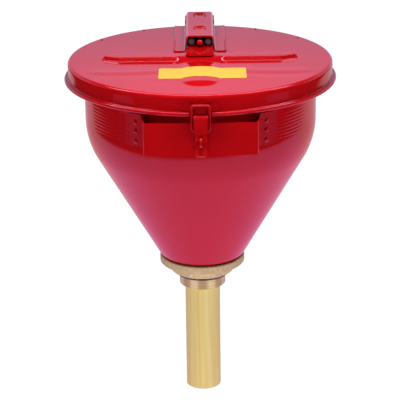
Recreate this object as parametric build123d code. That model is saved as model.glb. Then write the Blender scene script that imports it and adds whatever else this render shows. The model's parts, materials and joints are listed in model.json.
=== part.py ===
"""Safety drum funnel: a steel bowl with a hinged self-closing lid, a padlockable draw latch on
the front, and a brass bung adapter below that carries a flame-arrester tube.

Millimetres. +Z is up and the front (the latch side) faces -Y. The origin is on the funnel's axis,
at the top of the spigot that enters the drum's bung, just under its sealing ring.
"""

from build123d import *
import os
from math import cos, hypot, radians, sin, sqrt, tan

# ---- driving dimensions --------------------------------------------------------------------------
SHEET = 1.2            # lid, bowl and arm sheet
TOUCH = 0.02           # gap left between pieces that bear on each other
RUN = 0.05             # radial running clearance of a pin in its hole

LID_Z = 232.0          # outer face of the lid's flat top
LID_R = 132.7          # outside of the lid's skirt
LID_CORNER = 3.0
BEAD_R = 136.5         # outside of the curled bead round the skirt's lower edge
BEAD_BOTTOM = 212.0
BEAD_TOP = 218.5
BEAD_NOTCH = 22.0      # width of the gap in the bead behind the latch

RIB_HEIGHT = 4.0       # cross rib pressed up in the lid
RIB_TIP = 98.5
RIB_FRONT = -12.8
RIB_REAR = 6.4
RIB_POINT = 17.0       # length of each tapered end
RIB_SLOPE = 2.8        # how far the rib's sides lean in
SPINE_HEIGHT = 2.8     # rib that runs from the cross rib towards the latch
SPINE_WIDTH = 36.0
SPINE_FRONT = -102.9
SPINE_REAR = 21.0
SPINE_SLOPE = 9.0      # its sides lean in far, so that it is nearly an arch
SPINE_NOSE = 12.4      # length of its sloping front end
SPINE_CORNER = 15.0
WEB_CORNER = 9.0       # fillet where the two ribs meet
PIP_R = 1.7            # weld pips on the lid's rear rim
PIP_RIM = 127.0
PIP_ANGLES = (-54, -28, 28, 54)

LABEL_X = 2.2
LABEL_WIDTH = 85.0
LABEL_FRONT = -76.0
LABEL_REAR = -40.0
LABEL_SHEET = 0.35
LABEL_CORNER = 2.0
GASKET_OUT = 129.0     # lid gasket that lies on the bowl's rim
GASKET_IN = 117.5

BOWL_R = 116.7         # outside of the bowl's straight wall
BOWL_TOP = 228.0
BOWL_RIM = 127.0
RIM_LIP = 5.0
RIM_BEND = 1.8
WALL_BOTTOM = 171.9
SHOULDER_R = 75.5      # big radius from the wall into the cone
CONE_ANGLE = 29.85     # degrees from the axis
BOWL_BOTTOM = 23.3
BOWL_FOOT_R = 5.0
BOWL_HOLE = 28.7

RING_R = 44.0          # brass adapter: round flange, octagon, neck through the bowl's floor
RING_TOP = 22.3
RING_BOTTOM = 13.9
RING_EDGE = 1.6        # rounding of the flange's rim
OCTAGON_FLATS = 62.0
OCTAGON_BOTTOM = 4.0
OCTAGON_CORNER_R = 31.6 # chamfer on the octagon's lower corners
NECK_R = 28.5
NECK_BORE_R = 20.0
NECK_TOP = 33.0
NUT_FLATS = 66.0
NUT_HEIGHT = 6.4
GASKET_R = 38.0
SEAL_R = 26.0          # sealing ring: flat inside, its outer edge a half round on this circle
SEAL_SECTION = 1.93
SEAL_GROOVE_R = 22.9
SPIGOT_R = 23.9
SPIGOT_LENGTH = 11.3
SPIGOT_CHAMFER = 0.8
SHANK_R = 22.4         # shank of the collar inside the octagon
SHANK_BORE_R = 22.5
SHANK_TOP = 9.5
TUBE_R = 18.2
TUBE_WALL = 1.5
TUBE_BOTTOM = -128.5
FLANGE_R = 22.2        # flange on the tube's upper end, clamped in the octagon
FLANGE_TOP = 11.9
CLAMP_STEP = 12.0
ELEMENT_TOP = -96.0    # flame cell in the tube's lower end
ELEMENT_BOTTOM = -127.0
ELEMENT_RINGS = (13.0, 10.2, 7.4, 4.6)
ELEMENT_SKIN = 0.8
ELEMENT_RIBBON = 0.5

BRACKET_SHEET = 1.5    # box bracket that carries the latch
BRACKET_HALF = 54.0
BRACKET_FACE = -133.0
BRACKET_TOP = 205.0
BRACKET_BOTTOM = 173.5
BRACKET_ANGLE = 32.1   # where its side flanges meet the bowl, degrees from the front
BRACKET_FLANGE = 12.8
BRACKET_RIVETS = (196.5, 187.5, 177.5)
LATCH_RIVETS = (181.2, 201.3)
RIVET_R = 1.6
RIVET_HEAD = 2.6
RIVET_TAIL = 0.8       # thickness of the flat inner end

LEVER_PIVOT = (-143.0, 212.2)   # y, z of the latch lever's pin
LEVER_R = 4.0                   # lever's outer radius round its pin
LEVER_HALF = 6.2
LEVER_GAUGE = 1.0
LEVER_REAR = -139.6
LEVER_STEP = 197.5              # height where the channel ends and the flat neck starts
LEVER_NECK_HALF = 5.35
LEVER_TIP = 176.2
LEVER_JOG = 1.6                 # how far the neck stands in front of the channel
LEVER_LIP = 5.2                 # how far the lifting lip stands in front of it
LEVER_SLOT = (185.0, 197.4)     # slot that passes over the padlock staple
LEVER_SLOT_WIDTH = 3.6
LIP_GROOVE = (179.1, 183.5)
LIP_GROOVE_WIDTH = 1.8
LEVER_PIN_R = 1.5
LEVER_PIN_HEAD = 2.4
EAR_R = 2.6                     # latch base and its ears
EAR_OUT = 4.9
EAR_GAUGE = 1.0
LATCH_PLATE_HALF = 6.0
LATCH_PLATE_BOTTOM = 177.5
BAIL_PIVOT = (-143.2, 200.8)
BAIL_TOP = 225.4
BAIL_Y = -144.0
BAIL_HALF = 8.35
BAIL_R = 1.15
KEEPER_GAUGE = 1.2
KEEPER_EAR_X = 12.5
KEEPER_EAR_Z = 220.7
KEEPER_EAR_R = 4.7
TONGUE_HALF = 5.8
TONGUE_FACE = -142.4
TONGUE_BOTTOM = 216.6
TONGUE_TOP = 225.6
STAPLE_GAUGE = 2.2
STAPLE_R = 4.6
STAPLE_EYE = (-152.6, 192.0)
STAPLE_HOLE = 3.2

HINGE = (146.0, 218.0)          # y, z of the lid's hinge pin
HINGE_PIN_R = 3.0
HINGE_EAR_OUT = 14.2
HINGE_EAR_GAUGE = 2.0
HINGE_PAD_HALF = 23.0
HINGE_PAD_BOTTOM = 181.0
HINGE_PAD_TOP = 207.5
HINGE_BOSS_R = 6.4
HINGE_RIVETS = ((-18.5, 187.0), (18.5, 187.0), (-18.5, 202.0), (18.5, 202.0))
CATCH_FRONT = 13.0              # hold-open catch, measured back from the pin
CATCH_REACH = 25.0
CATCH_TOP = 6.0
CATCH_GAUGE = 3.0
CATCH_HALF = 13.2               # narrow enough to pass between the arm's walls
CATCH_SLOT = (17.3, 21.3)
PIN_HEAD_R = 5.0
CLIP_R = 5.4
CLIP_GAUGE = 0.9
CLOSING_SPRING_R = 4.6
CLOSING_SPRING_WIRE = 0.8
CLOSING_SPRING_PITCH = 2.3
CLOSING_SPRING_SPAN = 15.0

ARM_FRONT = 22.0
ARM_REAR = 124.0
ARM_TOP = 249.0
ARM_TOP_HALF = 13.6
ARM_FOOT_HALF = 15.65
ARM_FLANGE_HALF = 26.4
ARM_FLANGE_REAR = 125.0
ARM_EYE = 6.6
ARM_LIP = 0.7          # how far the flanges' outer edges turn up
ARM_EAR_REACH = 30.0   # length of each ear plate in front of the pin
DIMPLE_DEPTH = 1.8
DIMPLE_WIDTH = 13.0
DIMPLE_LEAN = 3.0
DIMPLE_CORNER = 3.5
DIMPLES = ((45.0, 62.0), (99.0, 119.0))

ROD_X = 8.6
ROD_Z = 242.0
ROD_R = 2.0
ROD_FRONT = 23.6
ROD_REAR = 86.0
ROD_HEAD_R = 2.9
WASHER_R = 4.2
WASHER_FRONT = 24.6
WASHER_GAUGE = 1.2
BRIDGE_Y = 56.0
BRIDGE_GAUGE = 1.5
BRIDGE_HALF = 11.6
SPRING_R = 2.9
SPRING_WIRE = 0.5
SPRING_PITCH = 2.7
FUSE_STEM_R = 1.8
FUSE_BODY_R = 2.4
FUSE_BODY_LENGTH = 9.0
FUSE_NUT_R = 3.0
FUSE_HEAD_R = 3.25
FUSE_HEAD_FRONT = 17.6
FUSE_HEAD_REAR = 21.5

SLIDE_Z = 236.3
SLIDE_FRONT = -11.0
SLIDE_CORNER = 6.0
SLIDE_PAD_REAR = 13.0
SLIDE_PAD_HALF = 14.5
SLIDE_HALF = 13.3
SLIDE_SHOULDER = 108.0
SLIDE_TIP_HALF = 6.0
SLIDE_TIP = 136.0
SLIDE_TAB_Y = 82.0
SLIDE_TAB_HALF = 12.5
SLIDE_TAB_TOP = 245.0
SLIDE_PIP_X = 4.0
SLIDE_PIP_R = 1.2
UPRIGHT = (Align.CENTER, Align.CENTER, Align.MIN)


# ---- drawing helpers -----------------------------------------------------------------------------
def polygon(*points):
    return Polygon(*points, align=None)


def sheet_outline(points, radii, thickness):
    """Closed outline of bent sheet: the path is one face, and the sheet lies to the right of it."""
    path = FilletPolyline(*points, radius=radii)
    return make_face(offset(path, amount=thickness, side=Side.RIGHT).edges())


def turned(outline):
    """Revolves an outline drawn in (radius, height) about the funnel's axis."""
    return revolve(Plane.XZ * outline, Axis.Z)


def side_plate(outline, x_low, x_high):
    """Extrudes an outline drawn in (y, z) from x_low to x_high."""
    return extrude(Plane.YZ.offset(x_low) * outline, x_high - x_low, dir=(1, 0, 0))


def front_plate(outline, y_low, y_high):
    """Extrudes an outline drawn in (x, z) from y_low to y_high."""
    return extrude(Plane.XZ.offset(-y_low) * outline, y_high - y_low, dir=(0, 1, 0))


def flat_plate(outline, z_low, z_high):
    """Extrudes an outline drawn in (x, y) from z_low to z_high."""
    return extrude(Plane.XY.offset(z_low) * outline, z_high - z_low, dir=(0, 0, 1))


def disc(radius, y=0.0, z=0.0):
    return Pos(y, z) * Circle(radius)


def rod(radius, start, end):
    """Solid round bar between two points."""
    line = Vector(*end) - Vector(*start)
    return extrude(Plane(origin=start, z_dir=line) * Circle(radius), line.length)


def block(low, high):
    size = [b - a for a, b in zip(low, high)]
    return Pos(*low) * Box(*size, align=(Align.MIN, Align.MIN, Align.MIN))


def mirrored(solid):
    """The solid and its mirror image across the plane x = 0."""
    return solid + mirror(solid, Plane.YZ)


def domed_rivet(face, inward, grip):
    """Rivet with a domed head at `face`, its shank running `grip` along `inward` to a flat tail."""
    dome_height = RIVET_HEAD / 2
    ball_r = (RIVET_HEAD ** 2 + dome_height ** 2) / (2 * dome_height)
    ball = Pos(0, 0, ball_r - dome_height) * Sphere(ball_r)
    dome = ball & Pos(0, 0, -dome_height) * Cylinder(RIVET_HEAD + 1, dome_height, align=UPRIGHT)
    shank = Cylinder(RIVET_R, grip, align=UPRIGHT)
    tail = Pos(0, 0, grip) * Cylinder(RIVET_HEAD * 0.8, RIVET_TAIL, align=UPRIGHT)
    return Plane(origin=face, z_dir=inward) * (dome + shank + tail)


def rivets(axes):
    group = []
    for start, end in axes:
        line = Vector(*end) - Vector(*start)
        group.append(domed_rivet(start, line, line.length))
    return Compound(children=group)


def drilled(solid, axes):
    """The solid with a rivet hole along each axis."""
    for start, end in axes:
        solid -= rod(RIVET_R + TOUCH, start, end)
    return solid


def coil(radius, wire, pitch, start, end):
    """Open coil spring along +Y from start to end, (x, y, z) points on its axis."""
    length = end[1] - start[1] - 2 * wire
    helix = Helix(pitch, length, radius)
    section = Plane(origin=helix @ 0, z_dir=helix % 0) * Circle(wire)
    spring = sweep(section, path=helix)
    return Plane(origin=(start[0], start[1] + wire, start[2]), x_dir=(1, 0, 0), z_dir=(0, 1, 0)) * spring


# ---- bowl ----------------------------------------------------------------------------------------
def bowl_inside(inset):
    """Solid filled to the bowl's outer face, moved in by `inset`."""
    angle = radians(CONE_ANGLE)
    centre_r = BOWL_R - SHOULDER_R
    arc_r = SHOULDER_R - inset
    arc_end = (centre_r + arc_r * cos(angle), WALL_BOTTOM - arc_r * sin(angle))
    arc_mid = (centre_r + arc_r * cos(angle / 2), WALL_BOTTOM - arc_r * sin(angle / 2))
    floor = BOWL_BOTTOM + inset
    foot_r = arc_end[0] - (arc_end[1] - floor) * tan(angle)
    wall = Line((BOWL_R - inset, BOWL_TOP), (BOWL_R - inset, WALL_BOTTOM))
    shoulder = ThreePointArc((BOWL_R - inset, WALL_BOTTOM), arc_mid, arc_end)
    cone = Line(arc_end, (foot_r, floor))
    closing = Polyline((foot_r, floor), (0, floor), (0, BOWL_TOP), (BOWL_R - inset, BOWL_TOP))
    face = make_face([wall, shoulder, cone, closing])
    corner = face.vertices().sort_by(lambda v: hypot(v.X - foot_r, v.Y - floor))[0]
    return turned(fillet(corner, BOWL_FOOT_R - inset))


def bowl():
    rim_path = [(BOWL_R - SHEET / 2, BOWL_TOP), (BOWL_RIM, BOWL_TOP), (BOWL_RIM, BOWL_TOP - RIM_LIP)]
    rim = turned(sheet_outline(rim_path, RIM_BEND, SHEET))
    shell = bowl_inside(0) - bowl_inside(SHEET)
    shell -= flat_plate(Circle(BOWL_HOLE), BOWL_BOTTOM - 1, BOWL_BOTTOM + 2 * SHEET)
    shell = shell + rim - flat_plate(Circle(BOWL_R - SHEET), BOWL_TOP - 2 * SHEET, BOWL_TOP + 1)
    return drilled(shell, bracket_rivet_axes() + hinge_rivet_axes())


# ---- lid -----------------------------------------------------------------------------------------
def spine_frame(height, inset, nose):
    """Outline of the front-to-back rib, moved in by `inset` at the sides and by `nose` in front."""
    front = SPINE_FRONT + nose
    length = SPINE_REAR - front
    face = Pos(0, front + length / 2) * Rectangle(SPINE_WIDTH - 2 * inset, length)
    rounded = fillet(face.vertices().group_by(Axis.Y)[0], SPINE_CORNER - inset)
    return Pos(0, 0, height) * rounded


def rib_frame(height, inset):
    """Outline of the cross rib with its pointed ends, moved in by `inset`."""
    middle = (RIB_FRONT + RIB_REAR) / 2
    half = (RIB_REAR - RIB_FRONT) / 2 - inset
    shoulder = RIB_TIP - RIB_POINT
    tip = RIB_TIP - 2 * inset
    nose = 1.2 - 0.25 * inset
    right = [
        (shoulder, middle - half),
        (tip, middle - nose),
        (tip, middle + nose),
        (shoulder, middle + half),
    ]
    left = [(-x, y) for x, y in reversed(right)]
    return Pos(0, 0, height) * polygon(*right, *left)


def corner_web(inset):
    """Quarter fillets in the two corners where the ribs meet."""
    edge = SPINE_WIDTH / 2 - inset
    front = RIB_FRONT + inset
    size = WEB_CORNER - inset
    corner = Pos(edge + size / 2, front - size / 2) * Rectangle(size, size)
    right = corner - disc(size, edge + size, front - size)
    return right + mirror(right, Plane.YZ)


def pressing(lift):
    """Raised ribs of the lid as a solid, standing on the plane z = LID_Z + lift."""
    base = LID_Z + lift
    cross = loft([rib_frame(base, 0), rib_frame(base + RIB_HEIGHT, RIB_SLOPE)], ruled=True)
    crest = spine_frame(base + SPINE_HEIGHT, SPINE_SLOPE, SPINE_NOSE)
    spine = loft([spine_frame(base, 0, 0), crest], ruled=True)
    web = flat_plate(corner_web(SPINE_SLOPE / 2), base, base + SPINE_HEIGHT / 2)
    return cross + spine + web


def lid_shell():
    path = [
        (0, LID_Z),
        (LID_R, LID_Z),
        (LID_R, BEAD_BOTTOM + SHEET),
        (BEAD_R - SHEET, BEAD_BOTTOM + SHEET),
        (BEAD_R - SHEET, BEAD_TOP),
    ]
    groove = (BEAD_R - SHEET - LID_R) / 2 - 0.05
    pan = turned(sheet_outline(path, [LID_CORNER, groove, groove], SHEET))
    over = flat_plate(Circle(LID_R), LID_Z - SHEET - 1, LID_Z + 2 * RIB_HEIGHT)
    lid = pan + pressing(0) - (pressing(-SHEET) & over)
    low = (-BEAD_NOTCH / 2, -BEAD_R - 2, BEAD_BOTTOM - 1)
    notch = block(low, (BEAD_NOTCH / 2, -LID_R + 6, BEAD_TOP + 1))
    lid -= notch - flat_plate(Circle(LID_R + TOUCH), BEAD_BOTTOM - 2, LID_Z)
    sheet = flat_plate(Circle(LID_R), LID_Z - SHEET / 2, LID_Z + PIP_R)
    for angle in PIP_ANGLES:
        along = radians(angle)
        ball = Pos(PIP_RIM * sin(along), PIP_RIM * cos(along), LID_Z - PIP_R / 2) * Sphere(PIP_R)
        lid += ball & sheet
    return lid


def lid_gasket():
    return flat_plate(Circle(GASKET_OUT) - Circle(GASKET_IN), BOWL_TOP + 0.1, LID_Z - SHEET)


def label():
    """Film that lies on the flat top and over the rib."""
    length = LABEL_REAR - LABEL_FRONT
    area = Pos(LABEL_X, LABEL_FRONT + length / 2) * RectangleRounded(LABEL_WIDTH, length, LABEL_CORNER)
    over_rib = flat_plate(area, LID_Z, LID_Z + 2 * RIB_HEIGHT) & pressing(LABEL_SHEET)
    return flat_plate(area, LID_Z, LID_Z + LABEL_SHEET) + over_rib - pressing(0)


def arm_section():
    """Hat section of the arm: flat top, leaning walls, and flanges whose outer edges turn up."""
    foot = LID_Z + SHEET
    left = [
        (-ARM_FLANGE_HALF, foot + ARM_LIP),
        (-ARM_FLANGE_HALF + 1.6, foot),
        (-ARM_FOOT_HALF, foot),
        (-ARM_TOP_HALF, ARM_TOP),
    ]
    right = [(-x, z) for x, z in reversed(left)]
    return sheet_outline(left + right, [1.0, 1.0, 3.0, 3.0, 1.0, 1.0], SHEET)


def arm_ear():
    """Side plate that carries the arm down behind the lid's rim to the hinge pin."""
    y, z = HINGE
    plate = polygon(
        (y - ARM_EAR_REACH, LID_Z + TOUCH),
        (y - ARM_EAR_REACH, LID_Z + 9),
        (y - 6, LID_Z + 9),
        (y + ARM_EYE, z + 2.5),
        (y + ARM_EYE, z),
        (y - ARM_EYE, z),
        (y - 8.0, z + 4),
        (y - 8.0, LID_Z + TOUCH),
    )
    outline = plate + disc(ARM_EYE, y, z) - disc(HINGE_PIN_R + RUN, y, z)
    return side_plate(outline, ARM_FOOT_HALF - SHEET, ARM_FOOT_HALF)


def dimple(span, top, grow):
    """Tapered plug that presses a shallow rounded hollow into the arm's top."""
    front, rear = span
    width = DIMPLE_WIDTH + 2 * grow
    length = rear - front + 2 * grow
    middle = (front + rear) / 2
    mouth = Pos(0, middle, top) * RectangleRounded(width, length, DIMPLE_CORNER)
    bed = RectangleRounded(width - DIMPLE_LEAN, length - DIMPLE_LEAN, DIMPLE_CORNER - 1)
    return loft([mouth, Pos(0, middle, top - DIMPLE_DEPTH) * bed], ruled=True)


def hinge_arm():
    rear = HINGE[0] - 4.0
    silhouette = polygon(
        (ARM_FRONT - 1, LID_Z),
        (ARM_FRONT - 1, ARM_TOP + 1),
        (ARM_REAR - 1.5, ARM_TOP + 1),
        (ARM_REAR + 1.5, ARM_TOP - 3.5),
        (rear, LID_Z + 6.5),
        (rear, LID_Z),
    )
    body = front_plate(arm_section(), ARM_FRONT, HINGE[0]) & side_plate(silhouette, -30, 30)
    body -= mirrored(block((ARM_FOOT_HALF, ARM_FLANGE_REAR, LID_Z - 1), (40, 160, LID_Z + 5)))
    for span in DIMPLES:
        body = body + dimple(span, ARM_TOP - SHEET, SHEET * 0.8) - dimple(span, ARM_TOP, 0)
    return body + mirrored(arm_ear())


# ---- latch ---------------------------------------------------------------------------------------
def keeper():
    """Plate curved to the lid's skirt, with a hooked tongue for the bail."""
    low = KEEPER_EAR_Z - KEEPER_EAR_R
    outline = Pos(0, KEEPER_EAR_Z) * Rectangle(2 * TONGUE_HALF + 0.4, 2 * KEEPER_EAR_R)
    outline += Pos(0, KEEPER_EAR_Z) * Rectangle(2 * KEEPER_EAR_X, KEEPER_EAR_R * 1.1)
    for side in (-1, 1):
        outline += disc(KEEPER_EAR_R, side * KEEPER_EAR_X, KEEPER_EAR_Z)
    ring = Circle(LID_R + TOUCH + KEEPER_GAUGE) - Circle(LID_R + TOUCH)
    plate = front_plate(outline, -150, -100) & flat_plate(ring, low - 5, BAIL_TOP + 5)
    hook_path = FilletPolyline(
        (TONGUE_FACE, TONGUE_TOP),
        (TONGUE_FACE, TONGUE_BOTTOM),
        (-LID_R - TOUCH - 0.3, TONGUE_BOTTOM),
        radius=1.6,
    )
    hook = make_face(offset(hook_path, amount=KEEPER_GAUGE, side=Side.LEFT).edges())
    return plate + side_plate(hook, -TONGUE_HALF, TONGUE_HALF)


def latch_base():
    y, z = LEVER_PIVOT
    low = (-LATCH_PLATE_HALF, BRACKET_FACE - LEVER_GAUGE, LATCH_PLATE_BOTTOM)
    plate = block(low, (LATCH_PLATE_HALF, BRACKET_FACE, BRACKET_TOP - 0.1))
    foot = BRACKET_FACE - LEVER_GAUGE / 2
    root = polygon((foot, 198), (foot, 204.8), (foot - 0.5, 204.8))
    ear = make_hull(disc(EAR_R, y, z).edges() + root.edges()) - disc(LEVER_PIN_R + TOUCH, y, z)
    base = plate + mirrored(side_plate(ear, EAR_OUT - EAR_GAUGE, EAR_OUT))
    return drilled(base, latch_rivet_axes())


def padlock_staple():
    y, z = STAPLE_EYE
    root = BRACKET_FACE - LEVER_GAUGE
    body = disc(STAPLE_R, y, z) + Pos((root + y) / 2, z) * Rectangle(root - y, 2 * STAPLE_R)
    return side_plate(body - disc(STAPLE_HOLE, y, z), -STAPLE_GAUGE / 2, STAPLE_GAUGE / 2)


def lever_pin():
    y, z = LEVER_PIVOT
    end = LEVER_HALF + RUN
    shank = rod(LEVER_PIN_R, (-end, y, z), (end, y, z))
    return shank + mirrored(rod(LEVER_PIN_HEAD, (end, y, z), (end + 0.7, y, z)))


def lever_channel():
    """Upper half of the lever: a channel, rounded over its pin and open to the rear."""
    y, z = LEVER_PIVOT
    face = y - LEVER_R
    bend = face + LEVER_GAUGE
    hollow_end = LEVER_STEP - 9
    side = polygon(
        (face, z),
        (LEVER_REAR, z),
        (LEVER_REAR, LEVER_STEP + 5),
        (face + 2, LEVER_STEP - 3),
        (face, LEVER_STEP - 3),
    )
    crown = disc(LEVER_R, y, z) & Pos(y, z + LEVER_R / 2) * Rectangle(2 * LEVER_R, LEVER_R)
    hollow = polygon(
        (bend, z),
        (bend, hollow_end),
        (y + 9, hollow_end),
        (y + 9, z + 9),
        (y - 2.0, z + 9),
        (y - 1.5, z + 2.6),
    )
    inner = LEVER_HALF - LEVER_GAUGE
    solid = side_plate(side + crown, -LEVER_HALF, LEVER_HALF)
    return solid - side_plate(hollow + disc(LEVER_R - LEVER_GAUGE, y, z), -inner, inner)


def lever_tail():
    """Lower half of the lever: the slotted neck and its rounded lifting lip."""
    face = LEVER_PIVOT[0] - LEVER_R
    path = FilletPolyline(
        (face, LEVER_STEP + 2),
        (face, LEVER_STEP - 0.5),
        (face - LEVER_JOG, LEVER_STEP - 5),
        (face - LEVER_JOG, LEVER_STEP - 13),
        (face - LEVER_LIP, LEVER_STEP - 17.5),
        (face - LEVER_LIP + 0.8, LEVER_TIP + 1.2),
        (face - 2.0, LEVER_TIP),
        radius=[1.0, 1.0, 1.2, 1.2, 0.8],
    )
    strip = make_face(offset(path, amount=LEVER_GAUGE, side=Side.LEFT).edges())
    height = LEVER_STEP + 3 - LEVER_TIP
    outline = Pos(0, LEVER_TIP + height / 2) * Rectangle(2 * LEVER_NECK_HALF, height)
    outline = fillet(outline.vertices().group_by(Axis.Y)[0], LEVER_NECK_HALF - 0.1)
    return side_plate(strip, -LEVER_HALF, LEVER_HALF) & front_plate(outline, face - 8, face + 8)


def latch_lever():
    y, z = LEVER_PIVOT
    face = y - LEVER_R
    shoulder = polygon(
        (-LEVER_HALF - 1, LEVER_STEP - 4),
        (-LEVER_HALF - 1, LEVER_STEP + 3.5),
        (-LEVER_HALF, LEVER_STEP + 3.5),
        (-LEVER_NECK_HALF, LEVER_STEP - 0.5),
        (-LEVER_NECK_HALF, LEVER_STEP - 4),
    )
    lever = lever_channel() + lever_tail() - mirrored(front_plate(shoulder, face - 8, y + 8))
    lever -= rod(LEVER_PIN_R + RUN, (-9, y, z), (9, y, z))
    lever -= rod(BAIL_R + RUN, (-9, *BAIL_PIVOT), (9, *BAIL_PIVOT))
    low, high = LEVER_SLOT
    slot = RectangleRounded(LEVER_SLOT_WIDTH, high - low, LEVER_SLOT_WIDTH / 2 - 0.1)
    lever -= front_plate(Pos(0, (low + high) / 2) * slot, face - 6, face + 6)
    low, high = LIP_GROOVE
    groove = Rectangle(LIP_GROOVE_WIDTH, high - low)
    return lever - front_plate(Pos(0, (low + high) / 2) * groove, face - 8, face - LEVER_LIP + 0.45)


def latch_bail():
    y, z = BAIL_PIVOT
    inner = LEVER_HALF - LEVER_GAUGE - 0.15
    right = [
        (inner, y, z),
        (BAIL_HALF - 0.75, y, z),
        (BAIL_HALF, y - 0.1, z + 3.2),
        (BAIL_HALF, BAIL_Y, BAIL_TOP),
    ]
    left = [(-px, py, pz) for px, py, pz in reversed(right)]
    path = FilletPolyline(*right, *left, radius=[1.6, 1.6, 2.4, 2.4, 1.6, 1.6])
    section = Plane(origin=right[0], z_dir=(1, 0, 0)) * Circle(BAIL_R)
    return sweep(section, path=path, transition=Transition.ROUND)


def bracket_frame(side):
    """Outward normal and tangent of a bracket flange on the bowl's wall, seen from above."""
    angle = radians(BRACKET_ANGLE)
    normal = (side * sin(angle), -cos(angle))
    tangent = (side * cos(angle), sin(angle))
    return normal, tangent


def latch_bracket():
    normal, tangent = bracket_frame(1)
    reach = BOWL_R + TOUCH + BRACKET_SHEET
    outer = [normal[i] * reach + tangent[i] * BRACKET_FLANGE / 2 for i in (0, 1)]
    inner = [normal[i] * reach - tangent[i] * BRACKET_FLANGE / 2 for i in (0, 1)]
    right = [(BRACKET_HALF, BRACKET_FACE), tuple(inner), tuple(outer)]
    left = [(-x, y) for x, y in reversed(right)]
    path = FilletPolyline(*left, *right, radius=[1.0, 2.2, 2.2, 1.0])
    outline = make_face(offset(path, amount=BRACKET_SHEET, side=Side.LEFT).edges())
    bracket = flat_plate(outline, BRACKET_BOTTOM, BRACKET_TOP)
    return drilled(bracket, bracket_rivet_axes() + latch_rivet_axes())


def radial_axis(across, along, z, outer):
    """Rivet axis through the bowl's wall, towards the funnel's axis, from radius `outer`."""
    inner = BOWL_R - SHEET - 0.1
    return ((across * outer, along * outer, z), (across * inner, along * inner, z))


def bracket_rivet_axes():
    axes = []
    for side in (-1, 1):
        normal, _ = bracket_frame(side)
        for z in BRACKET_RIVETS:
            axes.append(radial_axis(*normal, z, BOWL_R + BRACKET_SHEET + TOUCH))
    return axes


def latch_rivet_axes():
    front = BRACKET_FACE - LEVER_GAUGE
    rear = BRACKET_FACE + BRACKET_SHEET + 0.05
    return [((0, front, z), (0, rear, z)) for z in LATCH_RIVETS]


def hinge_rivet_axes():
    axes = []
    for x, z in HINGE_RIVETS:
        across = x / BOWL_R
        axes.append(radial_axis(across, sqrt(1 - across ** 2), z, BOWL_R + TOUCH + HINGE_EAR_GAUGE))
    return axes


# ---- hinge ---------------------------------------------------------------------------------------
def hinge_pad():
    """Plate curved to the bowl's wall."""
    ring = Circle(BOWL_R + TOUCH + HINGE_EAR_GAUGE) - Circle(BOWL_R + TOUCH)
    height = HINGE_PAD_TOP - HINGE_PAD_BOTTOM
    outline = Pos(0, HINGE_PAD_BOTTOM + height / 2) * RectangleRounded(2 * HINGE_PAD_HALF, height, 4)
    return flat_plate(ring, HINGE_PAD_BOTTOM, HINGE_PAD_TOP) & front_plate(outline, 90, 140)


def hinge_bracket():
    y, z = HINGE
    wall = BOWL_R + HINGE_EAR_GAUGE / 2 - y
    outline = polygon(
        (wall, HINGE_PAD_BOTTOM + 2 - z),
        (wall, -11),
        (-20.5, -7.2),
        (-8, -7.2),
        (-6.4, 0),
        (-2, CATCH_TOP),
        (CATCH_REACH, CATCH_TOP),
        (CATCH_REACH, 1.0),
        (7, -9),
    )
    ear = Pos(y, z) * outline + disc(HINGE_BOSS_R, y, z) - disc(HINGE_PIN_R + TOUCH, y, z)
    bracket = hinge_pad() + mirrored(side_plate(ear, HINGE_EAR_OUT - HINGE_EAR_GAUGE, HINGE_EAR_OUT))
    low, high = z + CATCH_TOP - CATCH_GAUGE, z + CATCH_TOP
    bracket += block((-CATCH_HALF, y + CATCH_FRONT, low), (CATCH_HALF, y + CATCH_REACH, high))
    slot = SLIDE_TIP_HALF + 0.8
    bracket -= block((-slot, y + CATCH_SLOT[0], low - 1), (slot, y + CATCH_SLOT[1], high + 1))
    low = (CATCH_HALF, y + CATCH_FRONT + 1, z - 10)
    side = block(low, (HINGE_EAR_OUT + 1, y + CATCH_REACH + 1, high + 1))
    return drilled(bracket - mirrored(side), hinge_rivet_axes())


def hinge_pin():
    y, z = HINGE
    end = ARM_FOOT_HALF + 3.0
    head = rod(PIN_HEAD_R, (-ARM_FOOT_HALF - 2.2, y, z), (-ARM_FOOT_HALF - 0.2, y, z))
    shank = rod(HINGE_PIN_R, (-ARM_FOOT_HALF - 1, y, z), (end, y, z))
    groove = rod(PIN_HEAD_R, (ARM_FOOT_HALF + 0.2, y, z), (ARM_FOOT_HALF + 1.2, y, z))
    groove -= rod(HINGE_PIN_R - 0.5, (ARM_FOOT_HALF, y, z), (ARM_FOOT_HALF + 2, y, z))
    pin = head + shank - groove
    return fillet(pin.edges().filter_by(GeomType.CIRCLE).group_by(Axis.X)[0], 0.8)


def hinge_pin_clip():
    """E-clip in the pin's groove."""
    y, z = HINGE
    ring = disc(CLIP_R, y, z) - disc(HINGE_PIN_R - 0.45, y, z) - Pos(y + 4, z) * Rectangle(8, 3.6)
    return side_plate(ring, ARM_FOOT_HALF + 0.25, ARM_FOOT_HALF + 0.25 + CLIP_GAUGE)


def closing_spring():
    """Torsion spring round the hinge pin, without its legs."""
    helix = Helix(CLOSING_SPRING_PITCH, CLOSING_SPRING_SPAN, CLOSING_SPRING_R)
    section = Plane(origin=helix @ 0, z_dir=helix % 0) * Circle(CLOSING_SPRING_WIRE)
    place = Plane(origin=(-CLOSING_SPRING_SPAN / 2, *HINGE), x_dir=(0, 1, 0), z_dir=(1, 0, 0))
    return place * sweep(section, path=helix)


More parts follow.
